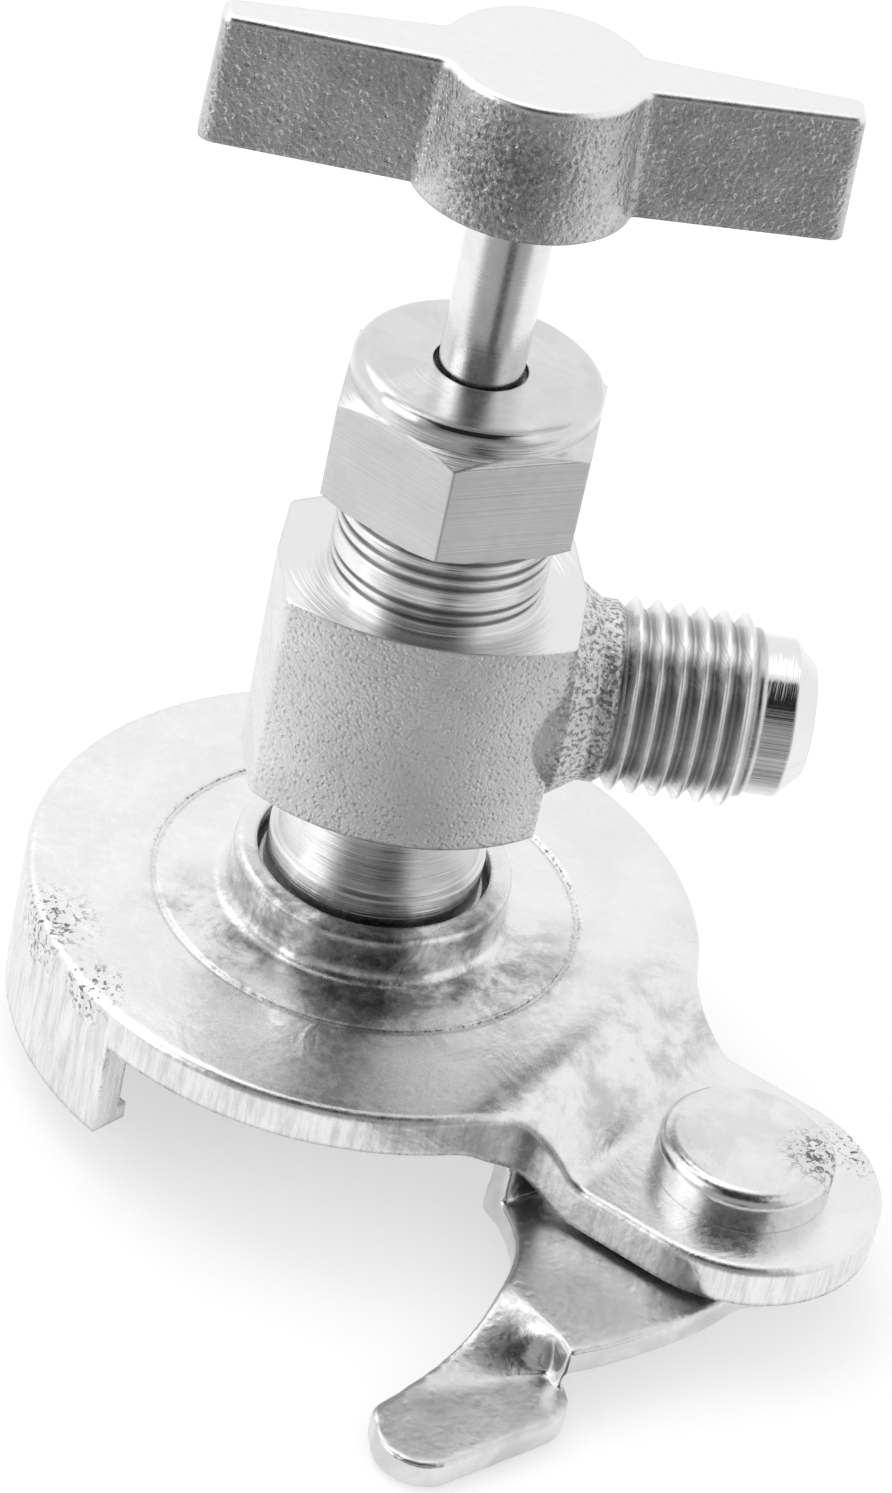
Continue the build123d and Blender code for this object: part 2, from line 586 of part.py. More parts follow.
def packing_nut():
    """Hexagon nut with a turned top that presses the gland follower down."""
    ceiling = BOX_FLOOR + BASE_WASHER_T + len(PACKING_NAMES) * PACKING_T + GLAND_H
    hexagon = prism(Rot(0, 0, NUT_TURN) * RegularPolygon(NUT_FLATS / 2, 6, major_radius=False),
                    NUT_BOTTOM, NUT_TOP)
    corner_r = NUT_FLATS / 2 / math.cos(HEX_HALF_ANGLE)
    shoulder = NUT_HEX_TOP + (corner_r - NUT_BOSS_R) * math.tan(NUT_CHAMFER)
    turned_top = turned((0, NUT_BOTTOM), (corner_r - NUT_BOSS_EDGE, NUT_BOTTOM),
                        (corner_r + PAST, NUT_BOTTOM + NUT_BOSS_EDGE),
                        (corner_r + PAST, NUT_HEX_TOP - NUT_CHAMFER_H),
                        (NUT_BOSS_R, shoulder), (NUT_BOSS_R, NUT_TOP), (0, NUT_TOP))
    boss = ring(0, NUT_BOSS_R, NUT_HEX_TOP - PAST, NUT_TOP)
    nut = (hexagon & turned_top) + boss
    nut = fillet_circles(nut, NUT_BOSS_R, NUT_TOP, NUT_BOSS_EDGE)
    nut -= ring(0, NUT_THREAD_R + LOOSE_FIT, 0, ceiling)
    return nut - ring(0, NUT_STEM_HOLE_R, 0, ABOVE_ALL)


PARTS = {
    "clamp_plate": clamp_plate,
    "pivot_rivet": pivot_rivet,
    "friction_washer": friction_washer,
    "rivet_washer": rivet_washer,
    "swing_lever": swing_lever,
    "valve_body": valve_body,
    "seat_ring": seat_ring,
    "neck_stop_ring": neck_stop_ring,
    "can_gasket": can_gasket,
    "gasket_backing_washer": gasket_backing_washer,
    "stem": stem,
    "piercing_needle": piercing_needle,
    "needle_clip": needle_clip,
    "handle": handle,
    "packing_base_washer": packing_base_washer,
    "gland_follower": gland_follower,
    "packing_nut": packing_nut,
}

os.makedirs("parts", exist_ok=True)
for name, make in PARTS.items():
    export_step(make(), f"parts/{name}.step")
for index, name in enumerate(PACKING_NAMES):
    export_step(packing_ring(index), f"parts/{name}.step")
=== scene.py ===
"""The look of a side-clamping can tap valve: nickel-plated forging, turned necks, cast handle and
stamped clamp. Metres, +Z up along the stem, +X out of the flare outlet, as in the CAD frame."""

import math

import bmesh
import bpy
from mathutils import Matrix, Vector
from mathutils.geometry import tessellate_polygon


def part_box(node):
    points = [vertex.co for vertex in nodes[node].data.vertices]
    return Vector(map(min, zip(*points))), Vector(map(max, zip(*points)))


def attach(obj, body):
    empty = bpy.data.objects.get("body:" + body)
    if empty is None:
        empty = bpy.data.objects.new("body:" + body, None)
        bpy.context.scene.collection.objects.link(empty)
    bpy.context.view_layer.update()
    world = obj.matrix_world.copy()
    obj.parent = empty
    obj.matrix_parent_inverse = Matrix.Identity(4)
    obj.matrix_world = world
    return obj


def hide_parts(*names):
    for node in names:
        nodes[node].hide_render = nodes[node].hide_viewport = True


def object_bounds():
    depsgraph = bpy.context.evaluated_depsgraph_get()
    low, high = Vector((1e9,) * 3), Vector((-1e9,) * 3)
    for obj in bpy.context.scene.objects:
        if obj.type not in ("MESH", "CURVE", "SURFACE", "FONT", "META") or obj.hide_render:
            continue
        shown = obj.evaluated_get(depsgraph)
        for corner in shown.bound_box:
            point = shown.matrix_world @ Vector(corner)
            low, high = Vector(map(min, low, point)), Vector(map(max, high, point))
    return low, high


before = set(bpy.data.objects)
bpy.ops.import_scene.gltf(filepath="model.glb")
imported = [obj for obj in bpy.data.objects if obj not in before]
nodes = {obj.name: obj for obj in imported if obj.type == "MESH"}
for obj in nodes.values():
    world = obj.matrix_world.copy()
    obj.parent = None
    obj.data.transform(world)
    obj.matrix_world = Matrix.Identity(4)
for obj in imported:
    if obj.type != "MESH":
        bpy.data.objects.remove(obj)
cad_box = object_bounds()
MM = 0.001

# ---- clamp plate ---------------------------------------------------------------------------
# One piece of thick sheet steel, stamped, drawn up to a collar round the valve's neck and bent
# down to the fixed jaw, then barrel-polished and nickel-plated. Its plating lies in soft blotches.
PLATE_COLOUR = (0.86, 0.86, 0.86, 1)
PLATE_SHADE = (0.81, 0.81, 0.815, 1)
PLATE_ROUGHNESS = (0.20, 0.34)
PLATE_EDGE_R = 0.5 * MM
SCUFF_COLOUR = (0.20, 0.20, 0.21, 1)
SCUFF_ROUGHNESS = 0.55
SCUFF_CRUMB = 0.35 * MM
SCUFF_PATCH = 9.0 * MM
# Painted dark reflections in smears round the front of the collar, and painted shade across the
# bend to the ear.
PAINTED_DARK_COLOUR = (0.17, 0.17, 0.175, 1)
PAINTED_DARK_SIZE = 3.6 * MM
COLLAR_PAINTED_REFLECTION = 0.85
COLLAR_PAINTED_REFLECTION_R = (10.0 * MM, 15.5 * MM)      # full inside the first radius, gone at the second
COLLAR_PAINTED_REFLECTION_Y = (-6.0 * MM, 2.0 * MM)
EAR_DIRECTION = (0.823, -0.568, 0.0)
BEND_PAINTED_SHADE = 0.40
BEND_PAINTED_SHADE_FROM = (13.0 * MM, 17.5 * MM)     # along the ear's direction from the stem's axis
BEND_PAINTED_SHADE_TO = (20.0 * MM, 23.0 * MM)
SHEARED_COLOUR = (0.42, 0.42, 0.425, 1)
SHEARED_DEPTH = 0.45
SHEARED_TEAR = 0.5 * MM
SHEARED_STRETCH = (1.0, 1.0, 0.12)
WORN_PLACES = (((-0.0186, -0.0066, 0.0024), 0.0042), ((-0.0155, -0.0120, 0.0026), 0.0030),
               ((0.0300, -0.0120, -0.0014), 0.0034), ((0.0180, -0.0170, 0.0010), 0.0030))


def put(tree, kind, wires=None, **settings):
    """Add a node with its settings, and wire or set its inputs."""
    made = tree.nodes.new(kind)
    for key, value in settings.items():
        setattr(made, key, value)
    for key, value in (wires or {}).items():
        socket = made.inputs[key]
        if isinstance(value, bpy.types.NodeSocket):
            tree.links.new(value, socket)
        else:
            socket.default_value = value
    return made


def calc(tree, operation, *values):
    """One Math node's result."""
    return put(tree, "ShaderNodeMath", dict(enumerate(values)), operation=operation).outputs[0]


def calc_vector(tree, operation, *values):
    """One Vector Math node's result: a number for a length or a product, otherwise a vector."""
    made = put(tree, "ShaderNodeVectorMath", dict(enumerate(values)), operation=operation)
    is_number = operation in ("DISTANCE", "DOT_PRODUCT", "LENGTH")
    return made.outputs["Value" if is_number else "Vector"]


def split(tree, vector):
    """The X, Y and Z outputs of a vector."""
    return put(tree, "ShaderNodeSeparateXYZ", {0: vector}).outputs


def from_axis(tree, spot):
    """Distance from the stem's axis."""
    return calc_vector(tree, "LENGTH", calc_vector(tree, "MULTIPLY", spot, (1.0, 1.0, 0.0)))


def facing_up(tree):
    """How far a face looks up: 1 on a top, 0 on an upright side, -1 underneath."""
    return split(tree, put(tree, "ShaderNodeNewGeometry").outputs["Normal"])["Z"]


def noise(tree, spot, size, detail, roughness=0.5, distortion=0.0):
    """Cloudy noise with lumps of a given size."""
    wires = {"Vector": spot, "Scale": 1 / size, "Detail": detail, "Roughness": roughness,
             "Distortion": distortion}
    return put(tree, "ShaderNodeTexNoise", wires).outputs["Fac"]


def ramp(tree, value, low, high):
    """Smooth rise from 0 at low to 1 at high."""
    wires = {"Value": value, "From Min": low, "From Max": high}
    made = put(tree, "ShaderNodeMapRange", wires, interpolation_type="SMOOTHSTEP")
    return made.outputs["Result"]


def mix_colour(tree, factor, first, second):
    """Colour between two others."""
    made = put(tree, "ShaderNodeMix", {0: factor, 6: first, 7: second}, data_type="RGBA")
    return made.outputs[2]


def mix_value(tree, factor, first, second):
    """Number between two others."""
    return put(tree, "ShaderNodeMix", {0: factor, 2: first, 3: second}).outputs[0]


def new_group(name, inputs, outputs):
    """Empty shader group with named float or vector inputs and float outputs."""
    group = bpy.data.node_groups.new(name, "ShaderNodeTree")
    for key, start in inputs.items():
        kind = "NodeSocketVector" if start is None else "NodeSocketFloat"
        made = group.interface.new_socket(name=key, in_out="INPUT", socket_type=kind)
        if start is not None:
            made.default_value = start
    for key in outputs:
        group.interface.new_socket(name=key, in_out="OUTPUT", socket_type="NodeSocketFloat")
    start_node = group.nodes.new("NodeGroupInput")
    end_node = group.nodes.new("NodeGroupOutput")
    return group, start_node.outputs, end_node.inputs


def place(tree, group, wires):
    """Put a group in a material's tree and give back its outputs."""
    made = tree.nodes.new("ShaderNodeGroup")
    made.node_tree = group
    for key, value in wires.items():
        if isinstance(value, bpy.types.NodeSocket):
            tree.links.new(value, made.inputs[key])
        else:
            made.inputs[key].default_value = value
    return made.outputs


def blotch_group():
    """Cloudy differences in plated metal: broad patches with finer mottling in them."""
    group, given, result = new_group("plating_blotches", {"Place": None, "Size": 4.0},
                                     ("Patch", "Mottle"))
    scale = calc(group, "DIVIDE", 1.0, calc(group, "MULTIPLY", given["Size"], MM))
    broad = put(group, "ShaderNodeTexNoise", {"Vector": given["Place"], "Scale": scale,
                                              "Detail": 4.0, "Roughness": 0.62, "Distortion": 0.6})
    fine_scale = calc(group, "MULTIPLY", scale, 7.0)
    fine = put(group, "ShaderNodeTexNoise", {"Vector": given["Place"], "Scale": fine_scale,
                                             "Detail": 5.0, "Roughness": 0.7})
    group.links.new(ramp(group, broad.outputs["Fac"], 0.36, 0.66), result["Patch"])
    group.links.new(ramp(group, fine.outputs["Fac"], 0.3, 0.72), result["Mottle"])
    return group


def grain_group():
    """Pebbled skin of shot-blasted or cast metal, as a height, with a mask of its pits for painted
    shade.
    """
    group, given, result = new_group("pebbled_grain", {"Place": None, "Size": 0.3},
                                     ("Height", "PitShade"))
    scale = calc(group, "DIVIDE", 1.0, calc(group, "MULTIPLY", given["Size"], MM))
    lumps = put(group, "ShaderNodeTexNoise", {"Vector": given["Place"], "Scale": scale,
                                              "Detail": 3.0, "Roughness": 0.55})
    pit_scale = calc(group, "MULTIPLY", scale, 0.55)
    pits = put(group, "ShaderNodeTexVoronoi", {"Vector": given["Place"], "Scale": pit_scale,
                                               "Smoothness": 0.6}, feature="SMOOTH_F1")
    hollow = ramp(group, pits.outputs["Distance"], 0.12, 0.42)
    height = calc(group, "MULTIPLY_ADD", hollow, 0.45, lumps.outputs["Fac"])
    group.links.new(height, result["Height"])
    group.links.new(calc(group, "SUBTRACT", 1.0, hollow), result["PitShade"])
    return group


BLOTCHES = blotch_group()
GRAIN = grain_group()


def new_metal(name, colour, roughness):
    """Material with a plain metallic shader; its other inputs are wired by its own section."""
    material = bpy.data.materials.new(name)
    material.use_nodes = True
    tree = material.node_tree
    shader = tree.nodes["Principled BSDF"]
    shader.inputs["Metallic"].default_value = 1.0
    shader.inputs["Base Color"].default_value = colour
    shader.inputs["Roughness"].default_value = roughness
    spot = put(tree, "ShaderNodeTexCoord").outputs["Object"]
    return material, tree, shader.inputs, spot


def rounded(tree, radius):
    """Normal that rounds sharp edges by a small radius."""
    return put(tree, "ShaderNodeBevel", {"Radius": radius}, samples=6).outputs["Normal"]


def edge_mask(tree, radius, low, high):
    """1 on sharp edges, 0 on flats: how far the rounded normal leans from the real one."""
    real = put(tree, "ShaderNodeNewGeometry").outputs["Normal"]
    lean = calc_vector(tree, "DOT_PRODUCT", rounded(tree, radius), real)
    return ramp(tree, calc(tree, "SUBTRACT", 1.0, lean), low, high)


def bump(tree, height, strength, distance, normal=None):
    """Normal disturbed by a height."""
    wires = {"Height": height, "Strength": strength, "Distance": distance}
    if normal is not None:
        wires["Normal"] = normal
    return put(tree, "ShaderNodeBump", wires).outputs["Normal"]


def dress(node, material):
    """Give a CAD piece its material."""
    mesh = nodes[node].data
    mesh.materials.clear()
    mesh.materials.append(material)


def plate_painted_reflection_and_shade(tree, spot):
    """Painted dark reflections in grey smears round the front of the drawn collar, and painted
    shade across the bend to the ear.
    """
    full_r, gone_r = COLLAR_PAINTED_REFLECTION_R
    full_y, gone_y = COLLAR_PAINTED_REFLECTION_Y
    ring = calc(tree, "MULTIPLY", ramp(tree, from_axis(tree, spot), gone_r, full_r),
                ramp(tree, split(tree, spot)["Y"], gone_y, full_y))
    along = calc_vector(tree, "DOT_PRODUCT", spot, EAR_DIRECTION)
    start, rise_end = BEND_PAINTED_SHADE_FROM
    fall_start, end = BEND_PAINTED_SHADE_TO
    bend = calc(tree, "MULTIPLY", ramp(tree, along, start, rise_end),
                ramp(tree, along, end, fall_start))
    smears = ramp(tree, noise(tree, spot, PAINTED_DARK_SIZE, 8.0, 0.72, 0.3), 0.42, 0.64)
    most = calc(tree, "MAXIMUM", calc(tree, "MULTIPLY", ring, COLLAR_PAINTED_REFLECTION),
                calc(tree, "MULTIPLY", bend, BEND_PAINTED_SHADE))
    return calc(tree, "MULTIPLY", most, smears)


def plate_scuffs(tree, spot):
    """Where the plating is rubbed off: in patches along the edges and at a few worn places."""
    edge = edge_mask(tree, PLATE_EDGE_R, 0.015, 0.12)
    crumbs = noise(tree, spot, SCUFF_CRUMB, 4.0, 0.7)
    patches = noise(tree, spot, SCUFF_PATCH, 2.0)
    scuffed = calc(tree, "MULTIPLY", calc(tree, "MULTIPLY", edge, ramp(tree, crumbs, 0.50, 0.62)),
                   ramp(tree, patches, 0.36, 0.54))
    for middle, reach in WORN_PLACES:
        apart = calc_vector(tree, "DISTANCE", spot, middle)
        worn = calc(tree, "MULTIPLY", ramp(tree, apart, reach, 0.3 * reach),
                    ramp(tree, crumbs, 0.53, 0.60))
        scuffed = calc(tree, "MAXIMUM", scuffed, worn)
    return scuffed


def plate_material():
    """Satin plating with cloudy patches, painted dark reflections round the collar and painted
    shade across the bend, scuffed along the stamped edges.
    """
    material, tree, shader, spot = new_metal("plated stamping", PLATE_COLOUR, 0.27)
    cloud = place(tree, BLOTCHES, {"Place": spot, "Size": 5.0})
    colour = mix_colour(tree, cloud["Patch"], PLATE_SHADE, PLATE_COLOUR)
    # Painted dark reflections round the collar's front and painted shade across the bend.
    colour = mix_colour(tree, plate_painted_reflection_and_shade(tree, spot), colour, PAINTED_DARK_COLOUR)
    upright = ramp(tree, calc(tree, "ABSOLUTE", facing_up(tree)), 0.6, 0.25)
    stretched = calc_vector(tree, "MULTIPLY", spot, SHEARED_STRETCH)
    tears = ramp(tree, noise(tree, stretched, SHEARED_TEAR, 5.0, 0.7), 0.40, 0.66)
    torn = calc(tree, "MULTIPLY", upright, tears)
    colour = mix_colour(tree, calc(tree, "MULTIPLY", torn, SHEARED_DEPTH), colour, SHEARED_COLOUR)
    scuffed = plate_scuffs(tree, spot)
    tree.links.new(mix_colour(tree, scuffed, colour, SCUFF_COLOUR), shader["Base Color"])
    rough = mix_value(tree, cloud["Mottle"], *PLATE_ROUGHNESS)
    tree.links.new(mix_value(tree, scuffed, rough, SCUFF_ROUGHNESS), shader["Roughness"])
    fine = place(tree, GRAIN, {"Place": spot, "Size": 0.45})
    soft = bump(tree, cloud["Patch"], 0.25, 0.10 * MM, rounded(tree, 0.45 * MM))
    tree.links.new(bump(tree, fine["Height"], 0.16, 0.03 * MM, soft), shader["Normal"])
    return material


STAMPED = plate_material()
dress("clamp_plate", STAMPED)

# ---- pivot rivet and washers ---------------------------------------------------------------
# A cold-headed steel rivet holds the lever to the plate's ear, with a thin washer between the
# two and a thicker one under the lever, where the rivet's tail is upset.
RIVET_COLOUR = (0.84, 0.84, 0.84, 1)
RIVET_SHADE = (0.74, 0.74, 0.74, 1)
RIVET_ROUGHNESS = (0.14, 0.28)
RIVET_WORN_ROUGHNESS = 0.6
RIVET_WORN_OFFSET = (4.2 * MM, -0.6 * MM)      # middle of the worn side, from the rivet's axis
RIVET_WORN_REACH = (0.8 * MM, 3.2 * MM)
RIVET_CRUMB = 0.42 * MM


def rivet_material():
    """Bright plating, worn through in fine dark crumbs on one side of the head."""
    material, tree, shader, spot = new_metal("plated rivet", RIVET_COLOUR, 0.2)
    low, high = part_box("pivot_rivet")
    middle = (low + high) / 2
    worn_middle = (middle.x + RIVET_WORN_OFFSET[0], middle.y + RIVET_WORN_OFFSET[1], high.z)
    full_r, gone_r = RIVET_WORN_REACH
    near = ramp(tree, calc_vector(tree, "DISTANCE", spot, worn_middle), gone_r, full_r)
    crumbs = ramp(tree, noise(tree, spot, RIVET_CRUMB, 5.0, 0.75, 0.8), 0.50, 0.56)
    worn = calc(tree, "MULTIPLY", near, crumbs)
    cloud = place(tree, BLOTCHES, {"Place": spot, "Size": 2.6})
    plain = mix_colour(tree, cloud["Patch"], RIVET_SHADE, RIVET_COLOUR)
    tree.links.new(mix_colour(tree, worn, plain, SCUFF_COLOUR), shader["Base Color"])
    rough = mix_value(tree, cloud["Mottle"], *RIVET_ROUGHNESS)
    tree.links.new(mix_value(tree, worn, rough, RIVET_WORN_ROUGHNESS), shader["Roughness"])
    tree.links.new(bump(tree, cloud["Mottle"], 0.2, 0.03 * MM, rounded(tree, 0.2 * MM)),
                   shader["Normal"])
    return material


RIVETED = rivet_material()
for riveted_piece in ("pivot_rivet", "rivet_washer", "friction_washer"):
    dress(riveted_piece, RIVETED)

# ---- valve body ----------------------------------------------------------------------------
# A hot-forged brass body, nickel-plated. Its flanks keep the forging's pebbled skin; both necks,
# the top and bottom faces and the outlet's thread and nose are turned bright on a lathe.
FORGED_COLOUR = (0.80, 0.80, 0.80, 1)
FORGED_SHADE = (0.72, 0.72, 0.725, 1)
# Painted shade in the pits of the pebbled skin.
FORGED_PIT_SHADE_COLOUR = (0.50, 0.50, 0.51, 1)
FORGED_PIT_SHADE_DEPTH = 0.35
FORGED_ROUGHNESS = (0.34, 0.46)
TURNED_COLOUR = (0.80, 0.80, 0.80, 1)
TURNED_ROUGHNESS = (0.09, 0.17)
BODY_EDGE_R = 0.28 * MM
FORGING_BOTTOM = 12.5 * MM
FORGING_TOP = 25.66 * MM
BOSS_SPECKLED = (6.8 * MM, 9.0 * MM)           # along the outlet, from clean to fully speckled
SPECKLE_SIZE = 0.28 * MM
SPECKLE_DEPTH = 0.8
OUTLET_TURNED_FROM = 11.0 * MM
OUTLET_Z = 19.37 * MM
THREAD_CREST_R = 5.45 * MM
THREAD_ROOT_R = 4.87 * MM
THREAD_END = 19.3 * MM
NECK_CREST_R = 6.08 * MM
NECK_GROOVE_R = 5.80 * MM
# Dark speckles on the outlet's boss, and painted shade in the neck's grooves and the thread's
# roots.
SPECKLE_AND_HOLLOW_SHADE_COLOUR = (0.16, 0.16, 0.165, 1)
HOLLOW_SHADE_DEPTH = 0.55


def turning_group():
    """Fine lathe lines: round the stem's axis by height and by radius."""
    group, given, result = new_group("lathe_lines", {"Place": None, "Pitch": 0.12},
                                     ("Side", "Face"))
    scale = calc(group, "DIVIDE", 1.0, calc(group, "MULTIPLY", given["Pitch"], MM))
    height = split(group, given["Place"])["Z"]
    for along, key in ((height, "Side"), (from_axis(group, given["Place"]), "Face")):
        lines = put(group, "ShaderNodeTexNoise",
                    {"W": along, "Scale": scale, "Detail": 3.0, "Roughness": 0.75},
                    noise_dimensions="1D")
        group.links.new(lines.outputs["Fac"], result[key])
    return group


LATHE = turning_group()


def turned_lines(tree, lathe):
    """Lathe lines by height on upright sides and by radius on level faces."""
    return mix_value(tree, ramp(tree, facing_up(tree), 0.6, 0.9), lathe["Side"], lathe["Face"])


def painted_hollow_shade(tree, spot, outward):
    """Painted shade in the hollows: the neck's grooves and the thread's roots."""
    part = split(tree, spot)
    in_groove = calc(tree, "MULTIPLY",
                     ramp(tree, from_axis(tree, spot), NECK_CREST_R, NECK_GROOVE_R),
                     ramp(tree, part["Z"], FORGING_TOP, FORGING_TOP + 0.2 * MM))
    from_outlet = calc_vector(tree, "ADD", spot, (0.0, 0.0, -OUTLET_Z))
    thread_r = calc_vector(tree, "LENGTH",
                           calc_vector(tree, "MULTIPLY", from_outlet, (0.0, 1.0, 1.0)))
    in_root = calc(tree, "MULTIPLY", ramp(tree, thread_r, THREAD_CREST_R, THREAD_ROOT_R), outward)
    before_nose = ramp(tree, part["X"], THREAD_END, THREAD_END - 0.3 * MM)
    return calc(tree, "MAXIMUM", in_groove, calc(tree, "MULTIPLY", in_root, before_nose))


def body_material():
    """Pebbled forging with bright turned ends."""
    material, tree, shader, spot = new_metal("nickel-plated forging", FORGED_COLOUR, 0.4)
    part = split(tree, spot)
    above = ramp(tree, part["Z"], FORGING_TOP - 0.10 * MM, FORGING_TOP - 0.02 * MM)
    below = ramp(tree, part["Z"], FORGING_BOTTOM + 0.05 * MM, FORGING_BOTTOM)
    outward = ramp(tree, part["X"], OUTLET_TURNED_FROM, OUTLET_TURNED_FROM + 0.2 * MM)
    turned = calc(tree, "MAXIMUM", calc(tree, "MAXIMUM", above, below), outward)
    cloud = place(tree, BLOTCHES, {"Place": spot, "Size": 6.0})
    skin = place(tree, GRAIN, {"Place": spot, "Size": 0.20})
    forged = mix_colour(tree, cloud["Patch"], FORGED_SHADE, FORGED_COLOUR)
    # Painted shade in the pits of the skin.
    forged = mix_colour(tree, calc(tree, "MULTIPLY", skin["PitShade"], FORGED_PIT_SHADE_DEPTH), forged,
                        FORGED_PIT_SHADE_COLOUR)
    specks = ramp(tree, noise(tree, spot, SPECKLE_SIZE, 3.0, 0.6), 0.48, 0.60)
    speckled = calc(tree, "MULTIPLY", specks, ramp(tree, part["X"], *BOSS_SPECKLED))
    forged = mix_colour(tree, calc(tree, "MULTIPLY", speckled, SPECKLE_DEPTH), forged,
                        SPECKLE_AND_HOLLOW_SHADE_COLOUR)
    # Painted shade in the neck's grooves and the thread's roots.
    hollow_shade = calc(tree, "MULTIPLY", painted_hollow_shade(tree, spot, outward), HOLLOW_SHADE_DEPTH)
    bright_metal = mix_colour(tree, hollow_shade, TURNED_COLOUR, SPECKLE_AND_HOLLOW_SHADE_COLOUR)
    tree.links.new(mix_colour(tree, turned, forged, bright_metal), shader["Base Color"])
    rough = mix_value(tree, cloud["Mottle"], *FORGED_ROUGHNESS)
    bright = mix_value(tree, cloud["Mottle"], *TURNED_ROUGHNESS)
    tree.links.new(mix_value(tree, turned, rough, bright), shader["Roughness"])
    edges = rounded(tree, BODY_EDGE_R)
    forged_normal = bump(tree, skin["Height"], 1.0, 0.075 * MM, edges)
    lines = turned_lines(tree, place(tree, LATHE, {"Place": spot, "Pitch": 0.16}))
    turned_normal = bump(tree, lines, 0.7, 0.04 * MM, edges)
    normal = put(tree, "ShaderNodeMix", {0: turned, 4: forged_normal, 5: turned_normal},
                 data_type="VECTOR").outputs[1]
    tree.links.new(normal, shader["Normal"])
    return material


dress("valve_body", body_material())

# ---- packing nut ---------------------------------------------------------------------------
# Turned from hexagon bar: the flats keep fine drawn lines, the chamfer and the round top are
# turned, and the whole nut is nickel-plated. It holds the gland follower and packing down.
NUT_COLOUR = (0.72, 0.72, 0.72, 1)
NUT_SHADE = (0.66, 0.66, 0.665, 1)
NUT_LINE_COLOUR = (0.45, 0.45, 0.455, 1)
NUT_LINE_DEPTH = 0.35
NUT_FLAT_ROUGHNESS = (0.22, 0.42)
NUT_CROWN_ROUGHNESS = (0.07, 0.14)
NUT_HEX_TOP = 37.2 * MM
NUT_EDGE_R = 0.22 * MM


def nut_material():
    """Brushed flats below, turned shoulder and top above."""
    material, tree, shader, spot = new_metal("plated nut", NUT_COLOUR, 0.3)
    top = ramp(tree, split(tree, spot)["Z"], NUT_HEX_TOP, NUT_HEX_TOP + 0.5 * MM)
    lathe = place(tree, LATHE, {"Place": spot, "Pitch": 0.10})
    cloud = place(tree, BLOTCHES, {"Place": spot, "Size": 3.0})
    colour = mix_colour(tree, cloud["Patch"], NUT_SHADE, NUT_COLOUR)
    drawn = ramp(tree, lathe["Side"], 0.35, 0.7)
    drawn = calc(tree, "MULTIPLY", drawn, calc(tree, "SUBTRACT", 1.0, top))
    colour = mix_colour(tree, calc(tree, "MULTIPLY", drawn, NUT_LINE_DEPTH), colour,
                        NUT_LINE_COLOUR)
    tree.links.new(colour, shader["Base Color"])
    flats = mix_value(tree, lathe["Side"], *NUT_FLAT_ROUGHNESS)
    crown = mix_value(tree, cloud["Mottle"], *NUT_CROWN_ROUGHNESS)
    tree.links.new(mix_value(tree, top, flats, crown), shader["Roughness"])
    lines = turned_lines(tree, lathe)
    tree.links.new(bump(tree, lines, 0.55, 0.025 * MM, rounded(tree, NUT_EDGE_R)),
                   shader["Normal"])
    return material


dress("packing_nut", nut_material())

# ---- stem, needle and other turned steel -----------------------------------------------------
# Centreless-ground steel, polished and plated. The stem turns in the packing; the needle swivels
# in its foot, held by a wire clip. The washers, the gland follower and the snap ring match them.
STEEL_COLOUR = (0.82, 0.82, 0.82, 1)
STEEL_SHADE = (0.75, 0.75, 0.755, 1)
STEEL_ROUGHNESS = (0.20, 0.30)


def steel_material():
    """Bright ground steel with faint rings."""
    material, tree, shader, spot = new_metal("ground steel", STEEL_COLOUR, 0.15)
    lathe = place(tree, LATHE, {"Place": spot, "Pitch": 0.22})
    cloud = place(tree, BLOTCHES, {"Place": spot, "Size": 2.5})
    tree.links.new(mix_colour(tree, cloud["Patch"], STEEL_SHADE, STEEL_COLOUR),
                   shader["Base Color"])
    tree.links.new(mix_value(tree, cloud["Mottle"], *STEEL_ROUGHNESS), shader["Roughness"])
    tree.links.new(bump(tree, lathe["Side"], 0.3, 0.02 * MM, rounded(tree, 0.12 * MM)),
                   shader["Normal"])
    return material


STEEL = steel_material()
for turned_piece in ("stem", "piercing_needle", "needle_clip", "packing_base_washer",
                     "gland_follower", "neck_stop_ring", "gasket_backing_washer"):
    dress(turned_piece, STEEL)

# ---- handle --------------------------------------------------------------------------------
# Die-cast in zinc with two tapered wings, nickel-plated and pressed on the stem. The sides keep
# the die's coarse orange-peel skin; the top is ground flat and smooth.
# The sides' colours are painted darker than the top's, as shade.
CAST_SIDE_SHADED_COLOUR = (0.64, 0.64, 0.64, 1)
CAST_SIDE_SHADED_BLOTCH = (0.50, 0.50, 0.505, 1)
CAST_ROUGHNESS = (0.22, 0.34)
# Painted shade in the pits of the cast skin.
CAST_PIT_SHADE_COLOUR = (0.42, 0.42, 0.43, 1)
CAST_PIT_SHADE_DEPTH = 0.25
CAST_EDGE_R = 0.3 * MM
GRIT_COLOUR = (0.22, 0.22, 0.225, 1)
GRIT_SIZE = 0.30 * MM
GRIT_DEPTH = 0.5
RUBBED_COLOUR = (0.14, 0.14, 0.145, 1)
RUBBED_MIDDLE = (-0.0022, -0.0056, 0.0546)
RUBBED_REACH = (1.0 * MM, 5.0 * MM)
RUBBED_DEPTH = 0.75
CAST_TOP_COLOUR = (0.86, 0.86, 0.86, 1)
CAST_TOP_ROUGHNESS = (0.24, 0.34)


